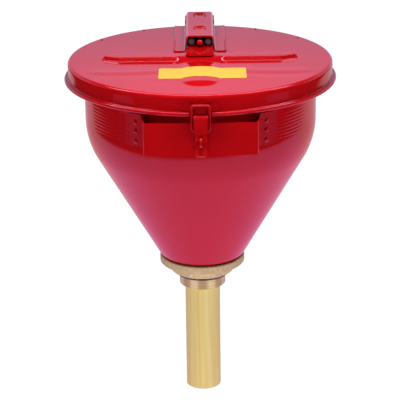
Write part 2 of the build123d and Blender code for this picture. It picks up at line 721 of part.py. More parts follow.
# ---- hold-open slide -----------------------------------------------------------------------------
def slide_outline():
    right = [
        (SLIDE_TIP_HALF, SLIDE_TIP),
        (SLIDE_TIP_HALF, SLIDE_SHOULDER + 8),
        (SLIDE_HALF, SLIDE_SHOULDER),
        (SLIDE_HALF, SLIDE_PAD_REAR),
        (SLIDE_PAD_HALF, SLIDE_PAD_REAR),
        (SLIDE_PAD_HALF, SLIDE_FRONT),
    ]
    left = [(-x, y) for x, y in reversed(right)]
    outline = polygon(*right, *left)
    return fillet(outline.vertices().group_by(Axis.Y)[0], SLIDE_CORNER)


def hold_open_slide():
    """Flat tongue under the arm: thumb pad in front, upright tab for the rods, tip for the catch."""
    slide = flat_plate(slide_outline(), SLIDE_Z, SLIDE_Z + SHEET)
    low = (-SLIDE_TAB_HALF, SLIDE_TAB_Y, SLIDE_Z + SHEET / 2)
    slide += block(low, (SLIDE_TAB_HALF, SLIDE_TAB_Y + BRIDGE_GAUGE, SLIDE_TAB_TOP))
    for x in (-ROD_X, ROD_X):
        slide -= rod(ROD_R + TOUCH, (x, SLIDE_TAB_Y - 1, ROD_Z), (x, SLIDE_TAB_Y + 3, ROD_Z))
    above = flat_plate(Rectangle(40, 40), SLIDE_Z + 0.2, SLIDE_Z + 3)
    for x in (-SLIDE_PIP_X, SLIDE_PIP_X):
        slide += Pos(x, 0, SLIDE_Z + 0.7) * Sphere(SLIDE_PIP_R) & above
    return slide


def guide_rods():
    group = []
    for x in (-ROD_X, ROD_X):
        shank = rod(ROD_R, (x, ROD_FRONT, ROD_Z), (x, ROD_REAR, ROD_Z))
        head = rod(ROD_HEAD_R, (x, ROD_FRONT, ROD_Z), (x, WASHER_FRONT, ROD_Z))
        group.append(shank + head)
    return Compound(children=group)


def rod_washers():
    group = []
    rear = WASHER_FRONT + WASHER_GAUGE
    for x in (-ROD_X, ROD_X):
        rim = rod(WASHER_R, (x, WASHER_FRONT, ROD_Z), (x, rear, ROD_Z))
        group.append(rim - rod(ROD_R + TOUCH, (x, WASHER_FRONT - 1, ROD_Z), (x, rear + 1, ROD_Z)))
    return Compound(children=group)


def slide_springs():
    front = WASHER_FRONT + WASHER_GAUGE + RUN
    rear = BRIDGE_Y - RUN
    group = []
    for x in (-ROD_X, ROD_X):
        group.append(coil(SPRING_R, SPRING_WIRE, SPRING_PITCH, (x, front, ROD_Z), (x, rear, ROD_Z)))
    return Compound(children=group)


def spring_bridge():
    """Upright inside the arm that the springs push against, with a tab under the front dimple."""
    top = ARM_TOP - SHEET - DIMPLE_DEPTH - TOUCH
    rear = BRIDGE_Y + BRIDGE_GAUGE
    wall = block((-BRIDGE_HALF, BRIDGE_Y, SLIDE_Z + SHEET + 1.0), (BRIDGE_HALF, rear, top))
    tab = block((-6, DIMPLES[0][0] + 3, top - BRIDGE_GAUGE), (6, rear, top))
    bridge = wall + tab
    for x in (-ROD_X, ROD_X):
        bridge -= rod(ROD_R + 0.1, (x, BRIDGE_Y - 3, ROD_Z), (x, rear + 3, ROD_Z))
    return bridge - rod(FUSE_STEM_R + TOUCH, (0, BRIDGE_Y - 3, ROD_Z), (0, rear + 3, ROD_Z))


def fusible_link():
    rear = BRIDGE_Y + BRIDGE_GAUGE
    stem = rod(FUSE_STEM_R, (0, FUSE_HEAD_REAR, ROD_Z), (0, rear + 3.2, ROD_Z))
    body = rod(FUSE_BODY_R, (0, BRIDGE_Y - FUSE_BODY_LENGTH, ROD_Z), (0, BRIDGE_Y - TOUCH, ROD_Z))
    nut = front_plate(Pos(0, ROD_Z) * RegularPolygon(FUSE_NUT_R, 6), rear + TOUCH, rear + 2.4)
    return stem + body + nut


def fusible_head():
    place = Plane(origin=(0, FUSE_HEAD_REAR - TOUCH, ROD_Z), z_dir=(0, -1, 0))
    button = Cylinder(FUSE_HEAD_R, FUSE_HEAD_REAR - FUSE_HEAD_FRONT, align=UPRIGHT)
    return place * fillet(button.edges().group_by(Axis.Z)[-1], FUSE_HEAD_R - 0.3)


# ---- brass neck ----------------------------------------------------------------------------------
def octagon(flats):
    return Rot(0, 0, 22.5) * RegularPolygon(flats / 2, 8, major_radius=False)


def bung_flange():
    """Cast adapter: round flange under the bowl, octagon below it, neck up through the bowl's floor."""
    outline = polygon(
        (NECK_BORE_R, CLAMP_STEP),
        (NECK_BORE_R, NECK_TOP),
        (NECK_R, NECK_TOP),
        (NECK_R, RING_TOP),
        (RING_R, RING_TOP),
        (RING_R, RING_BOTTOM),
        (SHANK_BORE_R, RING_BOTTOM),
        (SHANK_BORE_R, CLAMP_STEP),
    )
    ring = turned(outline)
    rim = ring.edges().filter_by(GeomType.CIRCLE).filter_by(lambda e: abs(e.radius - RING_R) < 0.01)
    nut = flat_plate(octagon(OCTAGON_FLATS), OCTAGON_BOTTOM, RING_BOTTOM + 0.1)
    nut = nut & turned(
        polygon(
            (0, OCTAGON_BOTTOM),
            (OCTAGON_CORNER_R, OCTAGON_BOTTOM),
            (OCTAGON_CORNER_R + 2.6, OCTAGON_BOTTOM + 2.4),
            (OCTAGON_CORNER_R + 2.6, RING_TOP),
            (0, RING_TOP),
        )
    )
    bore = flat_plate(Circle(SHANK_BORE_R), OCTAGON_BOTTOM - 1, CLAMP_STEP)
    return fillet(rim, RING_EDGE) + (nut - bore - flat_plate(Circle(NECK_BORE_R), CLAMP_STEP, RING_TOP))


def inner_locknut():
    low = BOWL_BOTTOM + SHEET
    return flat_plate(octagon(NUT_FLATS) - Circle(NECK_R + TOUCH), low, low + NUT_HEIGHT)


def neck_gasket():
    return flat_plate(Circle(GASKET_R) - Circle(NECK_R + TOUCH), RING_TOP, BOWL_BOTTOM)


def arrester_collar():
    """Spigot for the drum's bung, with a shank up inside the octagon."""
    top = OCTAGON_BOTTOM - TOUCH
    outline = polygon(
        (TUBE_R + RUN, -SPIGOT_LENGTH),
        (TUBE_R + RUN, SHANK_TOP),
        (SHANK_R, SHANK_TOP),
        (SHANK_R, top),
        (SEAL_GROOVE_R, top),
        (SEAL_GROOVE_R, 0),
        (SPIGOT_R, 0),
        (SPIGOT_R, -SPIGOT_LENGTH + SPIGOT_CHAMFER),
        (SPIGOT_R - SPIGOT_CHAMFER, -SPIGOT_LENGTH),
    )
    return turned(outline)


def bung_o_ring():
    """Sealing ring in the collar's groove, with a rounded outer edge."""
    middle = OCTAGON_BOTTOM - TOUCH - SEAL_SECTION
    inner = SEAL_GROOVE_R + TOUCH
    flat = Pos((inner + SEAL_R) / 2, middle) * Rectangle(SEAL_R - inner, 2 * SEAL_SECTION)
    return turned(flat + disc(SEAL_SECTION, SEAL_R, middle))


def arrester_tube():
    bore = TUBE_R - TUBE_WALL
    outline = polygon(
        (bore, TUBE_BOTTOM),
        (bore, FLANGE_TOP),
        (FLANGE_R, FLANGE_TOP),
        (FLANGE_R, SHANK_TOP + TOUCH),
        (TUBE_R, SHANK_TOP + TOUCH),
        (TUBE_R, TUBE_BOTTOM),
    )
    return turned(outline)


def arrester_element():
    """Crimped-ribbon flame cell, drawn as thin nested rings on a cross of vanes."""
    outer = TUBE_R - TUBE_WALL - TOUCH
    face = Circle(outer) - Circle(outer - ELEMENT_SKIN)
    for ring_r in ELEMENT_RINGS:
        face += Circle(ring_r) - Circle(ring_r - ELEMENT_RIBBON)
    for angle in range(0, 180, 45):
        face += Rot(0, 0, angle) * Rectangle(2 * outer - ELEMENT_SKIN, ELEMENT_RIBBON)
    return flat_plate(face, ELEMENT_BOTTOM, ELEMENT_TOP)


# ---- the parts -----------------------------------------------------------------------------------
PARTS = {
    "bowl": bowl,
    "latch_bracket": latch_bracket,
    "latch_bracket_rivets": lambda: rivets(bracket_rivet_axes()),
    "latch_base": latch_base,
    "latch_base_rivets": lambda: rivets(latch_rivet_axes()),
    "padlock_staple": padlock_staple,
    "lever_pin": lever_pin,
    "hinge_bracket": hinge_bracket,
    "hinge_bracket_rivets": lambda: rivets(hinge_rivet_axes()),
    "hinge_pin": hinge_pin,
    "hinge_pin_clip": hinge_pin_clip,
    "closing_spring": closing_spring,
    "bung_flange": bung_flange,
    "inner_locknut": inner_locknut,
    "neck_gasket": neck_gasket,
    "arrester_collar": arrester_collar,
    "bung_o_ring": bung_o_ring,
    "arrester_tube": arrester_tube,
    "arrester_element": arrester_element,
    "lid_shell": lid_shell,
    "lid_gasket": lid_gasket,
    "label": label,
    "hinge_arm": hinge_arm,
    "keeper": keeper,
    "spring_bridge": spring_bridge,
    "fusible_link": fusible_link,
    "fusible_head": fusible_head,
    "hold_open_slide": hold_open_slide,
    "guide_rods": guide_rods,
    "rod_washers": rod_washers,
    "slide_springs": slide_springs,
    "latch_lever": latch_lever,
    "latch_bail": latch_bail,
}

os.makedirs("parts", exist_ok=True)
for name, make in PARTS.items():
    export_step(make(), f"parts/{name}.step")
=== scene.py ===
import json
from math import cos, hypot, pi, radians, sin, tan

import bmesh
import bpy
import numpy as np
from mathutils import Matrix, Vector


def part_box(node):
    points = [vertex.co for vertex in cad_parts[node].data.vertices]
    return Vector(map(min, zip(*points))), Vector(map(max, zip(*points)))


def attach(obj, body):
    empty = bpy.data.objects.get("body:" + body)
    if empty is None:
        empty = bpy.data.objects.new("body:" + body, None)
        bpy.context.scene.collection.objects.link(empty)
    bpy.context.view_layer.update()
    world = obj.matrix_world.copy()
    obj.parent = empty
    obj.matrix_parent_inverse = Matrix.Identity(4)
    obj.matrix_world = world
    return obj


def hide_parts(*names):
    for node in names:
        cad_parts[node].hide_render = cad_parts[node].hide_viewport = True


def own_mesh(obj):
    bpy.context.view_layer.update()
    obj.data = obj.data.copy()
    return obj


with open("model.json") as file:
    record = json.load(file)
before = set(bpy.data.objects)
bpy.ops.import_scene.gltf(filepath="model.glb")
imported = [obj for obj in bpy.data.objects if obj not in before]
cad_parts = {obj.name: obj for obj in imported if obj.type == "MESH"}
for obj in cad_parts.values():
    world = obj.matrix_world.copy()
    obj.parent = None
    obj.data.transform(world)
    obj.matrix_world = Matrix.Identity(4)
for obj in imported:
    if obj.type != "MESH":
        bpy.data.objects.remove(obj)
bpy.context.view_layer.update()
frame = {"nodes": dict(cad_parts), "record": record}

MM = 0.001
NEARLY_PARALLEL = 0.05     # sine of an angle between two directions


def box_mm(node):
    low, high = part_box(node)
    return low / MM, high / MM


# ---- places read from the frame ------------------------------------------------------------------
LID_LOW, LID_HIGH = box_mm("lid_shell")
LABEL_LOW, LABEL_HIGH = box_mm("label")
BOWL_LOW, BOWL_HIGH = box_mm("bowl")
SPRINGS_LOW, SPRINGS_HIGH = box_mm("slide_springs")
COIL_LOW, COIL_HIGH = box_mm("closing_spring")
BRIDGE_BACK = box_mm("spring_bridge")[1].y
FLOOR_Z = box_mm("arrester_tube")[0].z
LID_TOP = LABEL_LOW.z

# ---- lid -----------------------------------------------------------------------------------------
SHEET = 1.2                # thickness of the lid and the bowl
BEAD_R = LID_HIGH.x
BEAD_BOTTOM = LID_LOW.z
ROLL_R = 2.0               # curled bead
BEAD_FILLET = 0.8
BEAD_TOP = BEAD_BOTTOM + 2 * ROLL_R + BEAD_FILLET
BEAD_REACH = 3.8
SKIRT_R = BEAD_R - BEAD_REACH
LID_CORNER = 3.0
NOTCH_HALF = 11.0          # half of the gap in the bead, behind the latch

RIB_HEIGHT = LID_HIGH.z - LID_TOP
RIB_TIP = 98.5             # the cross rib's half length
RIB_FRONT = -12.8
RIB_REAR = 6.4
RIB_SLOPE = 2.8            # run of its sloping faces
RIB_POINT = 17.0           # length of its pointed ends
RIB_NOSE = 1.2             # half width of their blunt tips
TIP_BLEND = 0.2
END_BLEND = 0.3
FRONT_BLEND = 0.7          # fillets along the rib's crests
REAR_BLEND = 2.4
WELL_INSIDE = 9.0          # stands for the ends in the rib's middle, where they don't matter
GUSSET_IN = 14.0           # the rib's front swells towards the spine between these half widths
GUSSET_OUT = 28.0
GUSSET_REACH = 8.5
GUSSET_BLEND = 1.5

SPINE_LOW = 1.3            # crown of the spine at the rib and at the front
SPINE_HEIGHT = 2.5
SPINE_RISE = (-20.0, -60.0)
SPINE_HALF = 18.5
SPINE_POWER = 2.5
SPINE_LIMIT = 1.6          # half widths after which the crown's curve stops falling
SPINE_FRONT = -102.9
SPINE_REAR = 21.0
SPINE_TAIL = 5.0
SPINE_BLEND = 0.8
TAIL_BLEND = 0.5
NOSE_R = 17.0              # round front end of the spine
NOSE_LENGTH = 12.4
NOSE_BLEND = 0.2
SKIN_BLEND = 0.25          # foot of the ribs on the lid's flat skin

WAVE_Y = -57.0             # shallow wave left by the press on both sides of the spine
WAVE_BEND = 12.0
WAVE_MIDDLE = 85.0
WAVE_LENGTH = 9.0
WAVE_HEIGHT = 0.45
WAVE_START = 25.0          # width over which it rises beside the spine
WAVE_RIM = 128.0
WAVE_RIM_SHARE = 8         # it fades out over one part in this many of its rim's radius

PIP_RIM = 127.0            # weld pips near the rear rim
PIP_R = 1.7
PIP_HEIGHT = 0.9
PIP_ROOT = 0.2
PIP_ANGLES = (-54, -28, 28, 54)

LABEL_CORNER = 2.0
LABEL_GAP = 0.02
LABEL_FILM = 0.3           # height of its face above the lid
LABEL_GRID = (86, 38)

LID_ROWS = 360             # density of the lid's mesh
DENSE_ROW = 0.4
ROW_GAP = 0.3
DENSE_COLUMN = 0.75
WIDE_COLUMN = 2.5
UNDER_COLUMNS = 81

# ---- bowl ----------------------------------------------------------------------------------------
WALL_R = 116.7
WALL_BOTTOM = 171.9
SHOULDER_R = 75.5
CONE_ANGLE = 29.85
FOOT_R = 5.0
NECK_HOLE = 28.7
LIP_DEPTH = 5.0            # rim's lip, from its top down
LIP_BEND = 2.0
LIP_ROOT = (0.3, 1.0)      # how far the lip's underside starts from the wall, at its two bends
WALL_DROP = 3.0            # the wall starts this far below the rim
SEAM_ANGLE = radians(-42.4)
SEAM_HEIGHT = 0.35
SEAM_WIDTH = 0.8
SEAM_FADE = 4.0
PRESS_MARKS = (172.0, 203.0)
PRESS_PITCH = 3.4
PRESS_DEPTH = (0.042, 0.028)
PRESS_FADE = 3.0
PRESS_START, PRESS_START_FADE = 0.62, 0.05
PRESS_END, PRESS_END_FADE = 1.16, 0.12
BOWL_STEPS = 400           # density of the bowl's mesh
WALL_STEPS = 110
WALL_TOLERANCE = 0.05

# ---- springs -------------------------------------------------------------------------------------
SLIDE_WIRE = 0.5
SLIDE_TURNS = 11
BRIDGE_SHEET = 1.5
CLOSING_WIRE = 0.8
CLOSING_TURNS = 6.75
LEG_ROOT = (0.6, -1.4)     # where the leg leaves the coil, in coil radii
LEG = ((-15.0, -20.0), (-3.0, -14.0))
HOOK_BESIDE = 0.9
HOOK = ((-2.0, 0.0), (-4.0, 2.5), (-5.0, 4.5))


# ---- mesh helpers --------------------------------------------------------------------------------
def new_piece(name, body, verts, faces, material, *replaced, slot=None, sharp=40):
    """Smooth shaded mesh from millimetre points that rides `body` and stands for the replaced CAD nodes."""
    mesh = bpy.data.meshes.new(name)
    mesh.from_pydata((np.array(verts) * MM).tolist(), [], faces)
    piece = bpy.data.objects.new(name, mesh)
    bpy.context.scene.collection.objects.link(piece)
    bm = bmesh.new()
    bm.from_mesh(mesh)
    bmesh.ops.delete(bm, geom=[v for v in bm.verts if not v.link_faces], context="VERTS")
    bmesh.ops.recalc_face_normals(bm, faces=bm.faces)
    bm.to_mesh(mesh)
    bm.free()
    mesh.shade_smooth()
    mesh.set_sharp_from_angle(angle=radians(sharp))
    mesh.materials.append(material)
    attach(piece, body)
    if replaced:
        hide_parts(*replaced)
    return piece


def arc(centre, radius, start, end, steps):
    """Points on an arc in degrees, both ends included."""
    points = []
    for i in range(steps + 1):
        a = radians(start + (end - start) * i / steps)
        points.append((centre[0] + radius * cos(a), centre[1] + radius * sin(a)))
    return points


def line(start, end, steps):
    """Points from start to end, without the start."""
    points = []
    for i in range(1, steps + 1):
        t = i / steps
        points.append((start[0] + (end[0] - start[0]) * t, start[1] + (end[1] - start[1]) * t))
    return points


def band(first, second, size):
    """Quads between two rings of verts that start at first and second."""
    around = [(k, (k + 1) % size) for k in range(size)]
    return [(first + k, first + m, second + m, second + k) for k, m in around]


def tube_along(points, radius, sides=12):
    """Verts and faces of a closed round bar through the points."""
    path = [Vector(p) for p in points]
    verts, faces = [], []
    up = Vector((0.0, 0.0, 1.0))
    for i, p in enumerate(path):
        ahead = (path[min(i + 1, len(path) - 1)] - path[max(i - 1, 0)]).normalized()
        across = ahead.cross(up)
        if across.length < NEARLY_PARALLEL:
            across = ahead.cross(Vector((1.0, 0.0, 0.0)))
        across.normalize()
        up = across.cross(ahead).normalized()
        for k in range(sides):
            a = 2 * pi * k / sides
            verts.append(tuple(p + radius * (cos(a) * across + sin(a) * up)))
    for i in range(len(path) - 1):
        faces += band(i * sides, (i + 1) * sides, sides)
    faces.append(tuple(range(sides)))
    faces.append(tuple(reversed(range((len(path) - 1) * sides, len(path) * sides))))
    return verts, faces


def smooth_max(a, b, blend):
    """Larger of two heights, with a fillet where they are nearly equal."""
    near = np.maximum(blend - np.abs(a - b), 0) / blend
    return np.maximum(a, b) + near * near * blend / 4


def smooth_min(a, b, blend):
    """Smaller of two heights, with a fillet where they are nearly equal."""
    return -smooth_max(-a, -b, blend)


def smooth_step(t):
    """Rise from 0 to 1 with level ends, while t goes from 0 to 1."""
    t = np.clip(t, 0, 1)
    return t * t * (3 - 2 * t)


# ---- lid -----------------------------------------------------------------------------------------
def cross_rib(ax, y):
    """Height of the cross rib and its gussets beside the spine. ax is the distance from the middle plane."""
    gusset = smooth_step((GUSSET_OUT - ax) / (GUSSET_OUT - GUSSET_IN))
    front = RIB_FRONT - GUSSET_REACH * gusset
    front_face = (y - front) / (RIB_FRONT + RIB_SLOPE - front)
    rear_face = (RIB_REAR - y) / RIB_SLOPE
    half = (RIB_REAR - RIB_FRONT) / 2
    lean = (half - RIB_NOSE) / RIB_POINT
    side = half - np.abs(y - (RIB_FRONT + RIB_REAR) / 2)
    point = (side - np.maximum(ax - (RIB_TIP - RIB_POINT), 0) * lean) / hypot(1, lean) / RIB_SLOPE
    blunt = (RIB_TIP - ax) / RIB_SLOPE
    end_face = np.where(ax > RIB_TIP - RIB_POINT, smooth_min(point, blunt, TIP_BLEND), WELL_INSIDE)
    inside = smooth_min(front_face, end_face, END_BLEND)
    top = np.full_like(ax, RIB_HEIGHT)
    rib = smooth_min(RIB_HEIGHT * inside, top, FRONT_BLEND + GUSSET_BLEND * gusset)
    return smooth_min(rib, RIB_HEIGHT * rear_face, REAR_BLEND)


def spine(ax, y):
    """Height of the crowned spine that runs from the rib to the front."""
    rise = smooth_step((SPINE_RISE[0] - y) / (SPINE_RISE[0] - SPINE_RISE[1]))
    crown = SPINE_LOW + (SPINE_HEIGHT - SPINE_LOW) * rise
    arch = crown * (1 - np.minimum(ax / SPINE_HALF, SPINE_LIMIT) ** SPINE_POWER)
    front_edge = SPINE_FRONT + NOSE_R - np.sqrt(np.maximum(NOSE_R ** 2 - ax ** 2, 0))
    nose = SPINE_HEIGHT * (y - front_edge) / NOSE_LENGTH
    tail = SPINE_HEIGHT * (SPINE_REAR - y) / SPINE_TAIL
    return smooth_min(smooth_min(arch, nose, NOSE_BLEND), tail, TAIL_BLEND)


def skin_wave(x, y):
    """Shallow wave in the lid's skin on both sides of the spine."""
    ax = np.abs(x)
    bend = WAVE_BEND * ((ax - WAVE_MIDDLE) / WAVE_MIDDLE) ** 2
    past = (y - WAVE_Y - bend) / WAVE_LENGTH
    beside = smooth_step((ax - SPINE_HALF) / WAVE_START)
    within = smooth_step((1 - np.hypot(x, y) / WAVE_RIM) * WAVE_RIM_SHARE)
    return WAVE_HEIGHT * past * np.exp(-past ** 2) * beside * within


def pressed_height(x, y):
    """Height of the lid's skin above its flat level, at arrays of points."""
    ax = np.abs(x)
    ribs = smooth_max(cross_rib(ax, y), spine(ax, y), SPINE_BLEND)
    return smooth_max(ribs, np.zeros_like(ax), SKIN_BLEND) + skin_wave(x, y)


def disc(radius, rows, columns, level):
    """Pressed round patch made of straight rows along X, over a level: its verts, its faces and its edge."""
    y = np.repeat(rows[:, None], len(columns), axis=1)
    x = np.sqrt(radius ** 2 - rows[:, None] ** 2) * columns[None, :]
    x = np.concatenate([[0.0], x.ravel(), [0.0]])
    y = np.concatenate([[-radius], y.ravel(), [radius]])
    verts = np.stack([x, y, level + pressed_height(x, y)], axis=1)
    wide = len(columns)
    last = len(verts) - 1
    faces = [(0, k + 2, k + 1) for k in range(wide - 1)]
    for i in range(len(rows) - 1):
        near = 1 + i * wide
        far = near + wide
        faces += [(near + k, near + k + 1, far + k + 1, far + k) for k in range(wide - 1)]
    faces += [(far + k, far + k + 1, last) for k in range(wide - 1)]
    starts = [1 + i * wide for i in range(len(rows))]
    edge = [0] + [start + wide - 1 for start in starts] + [last] + starts[::-1]
    return verts, faces, edge


def lid_rows(radius):
    """Y of the lid's mesh rows: even round the rim, close together over the rib."""
    even = -radius * np.cos(np.arange(1, LID_ROWS) * pi / LID_ROWS)
    extra = np.arange(RIB_FRONT - 2 * DENSE_ROW, RIB_REAR + 2.25 * DENSE_ROW, DENSE_ROW)
    apart = np.abs(even[:, None] - extra[None, :]).min(axis=1) > ROW_GAP
    return np.sort(np.concatenate([even[apart], extra]))


def lid_columns(radius):
    """Places of the mesh columns, -1 to 1: close together over the spine and the rib's pointed ends."""
    x, half = 0.0, [0.0]
    while x < radius:
        dense = x < GUSSET_OUT + 2 or RIB_TIP - RIB_POINT - 2 < x < RIB_TIP + 1
        x += DENSE_COLUMN if dense else WIDE_COLUMN
        half.append(min(x, radius))
    half = np.array(half) / radius
    return np.concatenate([-half[:0:-1], half])


def rim_profile():
    """Lid section from the top's edge round to its underside, and the curled bead's first and last index."""
    corner_centre = (SKIRT_R - LID_CORNER, LID_TOP - LID_CORNER)
    corner = arc(corner_centre, LID_CORNER, 90, 0, 8)[1:]
    fillet = arc((SKIRT_R + BEAD_FILLET, BEAD_TOP), BEAD_FILLET, 180, 270, 5)
    roll = arc((BEAD_R - ROLL_R, BEAD_BOTTOM + ROLL_R), ROLL_R, 100, -90, 16)
    foot = [(SKIRT_R, BEAD_BOTTOM + SHEET * 0.5), (SKIRT_R - SHEET, BEAD_BOTTOM + SHEET)]
    inner_corner = arc(corner_centre, LID_CORNER - SHEET, 0, 90, 5)[:-1]
    skirt = corner + line(corner[-1], fillet[0], 4)
    bead = fillet[1:] + roll
    return skirt + bead + foot + inner_corner, len(skirt), len(skirt) + len(bead) - 1


def rim_faces(chains, notched, bead_start, bead_end):
    """Faces between the rim's neighbouring sections. Notched ones skip the bead; its cut ends are closed."""
    faces = []
    bead = range(bead_start + 1, bead_end + 2)
    for j, chain in enumerate(chains):
        m = (j + 1) % len(chains)
        kept = range(len(chain))
        if notched[j] and notched[m]:
            kept = [k for k in kept if k not in bead]
        elif notched[j] or notched[m]:
            end = chain if notched[j] else chains[m]
            faces.append([end[k] for k in range(bead_start, bead_end + 3)])
        faces += [(chain[p], chains[m][p], chains[m][q], chain[q]) for p, q in zip(kept, kept[1:])]
    return faces


def build_lid(material):
    """Lid pan with its ribs, skirt and curled bead as one closed sheet, with no bead behind the latch."""
    radius = SKIRT_R - LID_CORNER
    rows = lid_rows(radius)
    top, faces, top_edge = disc(radius, rows, lid_columns(radius), LID_TOP)
    under_columns = np.linspace(-1, 1, UNDER_COLUMNS)
    under, under_faces, under_edge = disc(radius, rows, under_columns, LID_TOP - SHEET)
    faces += [tuple(len(top) + i for i in reversed(face)) for face in under_faces]
    profile, bead_start, bead_end = rim_profile()
    outline = np.array(profile)
    ways = top[top_edge][:, :2] / radius
    rim_xy = ways[:, None, :] * outline[None, :, :1]
    rim_z = np.tile(outline[None, :, 1:], (len(ways), 1, 1))
    rim = np.concatenate([rim_xy, rim_z], axis=2).reshape(-1, 3)
    first = len(top) + len(under)
    count = len(profile)
    chains = []
    for j, edge_vert in enumerate(top_edge):
        column = [first + j * count + k for k in range(count)]
        chains.append([edge_vert] + column + [len(top) + under_edge[j]])
    notched = [way[1] < 0 and abs(way[0]) * SKIRT_R < NOTCH_HALF for way in ways]
    faces += rim_faces(chains, notched, bead_start, bead_end)
    verts = np.concatenate([top, under, rim])
    new_piece("lid_pan", "lid", verts, faces, material, "lid_shell", slot="enamel_red", sharp=60)


def build_pips(material):
    """Small weld pips near the lid's rear rim."""
    verts, faces = [], []
    around, rise = 14, 4
    for angle in PIP_ANGLES:
        middle = (PIP_RIM * sin(radians(angle)), PIP_RIM * cos(radians(angle)))
        first = len(verts)
        for i in range(rise):
            lift = radians(90 * i / rise)
            z = LID_TOP - PIP_ROOT + (PIP_HEIGHT + PIP_ROOT) * sin(lift)
            verts += [(x, y, z) for x, y in arc(middle, PIP_R * cos(lift), 0, 360, around)[:-1]]
            if i:
                faces += band(first + (i - 1) * around, first + i * around, around)
        last_ring = len(verts) - around
        verts.append((*middle, LID_TOP + PIP_HEIGHT))
        faces += [(last_ring + k, last_ring + (k + 1) % around, len(verts) - 1) for k in range(around)]
        faces.append([first + k for k in reversed(range(around))])
    new_piece("lid_weld_pips", "lid", verts, faces, material, slot="enamel_red")


def label_grid():
    """X and Y of the label's mesh, with the points near its corners pulled in to round them."""
    low, high = LABEL_LOW, LABEL_HIGH
    xs = np.linspace(low.x, high.x, LABEL_GRID[0])
    ys = np.linspace(low.y, high.y, LABEL_GRID[1])
    x, y = np.meshgrid(xs, ys, indexing="ij")
    from_x = np.minimum(x - low.x, high.x - x)
    from_y = np.minimum(y - low.y, high.y - y)
    in_corner = (from_x < LABEL_CORNER) & (from_y < LABEL_CORNER)
    reach = np.maximum(np.hypot(LABEL_CORNER - from_x, LABEL_CORNER - from_y), 1e-6)
    pull = np.where(in_corner & (reach > LABEL_CORNER), 1 - LABEL_CORNER / reach, 0)
    sign_x = np.where(x < (low.x + high.x) / 2, 1, -1)
    sign_y = np.where(y < (low.y + high.y) / 2, 1, -1)
    x = x + sign_x * (LABEL_CORNER - from_x) * pull
    y = y + sign_y * (LABEL_CORNER - from_y) * pull
    return x, y


def build_label(material):
    """Thin film with rounded corners that lies on the lid and bends over the spine."""
    x, y = label_grid()
    height = LID_TOP + pressed_height(x, y)
    top = np.stack([x, y, height + LABEL_FILM], axis=2).reshape(-1, 3)
    under = np.stack([x, y, height + LABEL_GAP], axis=2).reshape(-1, 3)
    rows, cols = x.shape
    size = rows * cols
    faces = []
    for i in range(rows - 1):
        for j in range(cols - 1):
            a = i * cols + j
            b = a + cols
            faces.append((a, b, b + 1, a + 1))
            faces.append((size + a, size + a + 1, size + b + 1, size + b))
    edge = [i * cols for i in range(rows)] + [(rows - 1) * cols + j for j in range(1, cols)]
    edge += [i * cols + cols - 1 for i in range(rows - 2, -1, -1)] + [j for j in range(cols - 2, 0, -1)]
    for a, b in zip(edge, edge[1:] + edge[:1]):
        faces.append((a, size + a, size + b, b))
    verts = np.concatenate([top, under])
    new_piece("label_film", "lid", verts, faces, material, "label", slot="label_yellow", sharp=60)


# ---- bowl ----------------------------------------------------------------------------------------
def wall_relief(angle, z):
    """How far press marks and the weld seam push the straight wall out. The angle is from the front."""
    low, high = PRESS_MARKS
    ends = np.clip((z - low) / PRESS_FADE, 0, 1) * np.clip((high - z) / PRESS_FADE, 0, 1)
    away = np.abs(angle)
    beside = np.clip((away - PRESS_START) / PRESS_START_FADE, 0, 1)
    beside = beside * np.clip((PRESS_END - away) / PRESS_END_FADE, 0, 1)
    depth = np.where(angle < 0, *PRESS_DEPTH)
    marks = depth * ends * beside * np.cos(2 * pi * (z - low) / PRESS_PITCH)
    off_seam = (angle - SEAM_ANGLE) * WALL_R
    seam = SEAM_HEIGHT * np.exp(-(off_seam / SEAM_WIDTH) ** 2)
    return marks + seam * np.clip((z - WALL_BOTTOM) / SEAM_FADE, 0, 1)


def bowl_side(inset):
    """Wall, shoulder, cone and foot of one face of the bowl's sheet, from the top down."""
    floor = BOWL_LOW.z
    shoulder = arc((WALL_R - SHOULDER_R, WALL_BOTTOM), SHOULDER_R - inset, 0, -CONE_ANGLE, 24)
    foot_edge = shoulder[-1][0] - (shoulder[-1][1] - floor - inset) * tan(radians(CONE_ANGLE))
    reach = (FOOT_R - inset) * tan(radians(90 - CONE_ANGLE) / 2)
    foot = arc((foot_edge - reach, floor + FOOT_R), FOOT_R - inset, -CONE_ANGLE, -90, 8)
    wall = line((WALL_R - inset, BOWL_HIGH.z - WALL_DROP), (WALL_R - inset, WALL_BOTTOM), WALL_STEPS)
    return wall[:-1] + shoulder + line(shoulder[-1], foot[0], 14)[:-1] + foot


def bowl_profile():
    """Closed section of the bowl: lipped rim, inner face, neck hole, outer face and the lip's underside."""
    rim_r, rim_z = BOWL_HIGH.x, BOWL_HIGH.z
    floor = BOWL_LOW.z
    lip = [(rim_r - SHEET, rim_z - LIP_DEPTH), (rim_r, rim_z - LIP_DEPTH)]
    lip += arc((rim_r - LIP_BEND, rim_z - LIP_BEND), LIP_BEND, 0, 90, 5)
    roll = arc((WALL_R - SHEET + LIP_BEND, rim_z - LIP_BEND), LIP_BEND, 90, 180, 5)
    hole = [(NECK_HOLE, floor + SHEET), (NECK_HOLE, floor)]
    under_lip = [(WALL_R + LIP_ROOT[0], rim_z - LIP_BEND), (WALL_R + LIP_ROOT[1], rim_z - SHEET)]
    under_lip += [(rim_r - LIP_BEND, rim_z - SHEET), (rim_r - SHEET, rim_z - LIP_BEND)]
    return lip + roll + bowl_side(SHEET) + hole + bowl_side(0.0)[::-1] + under_lip


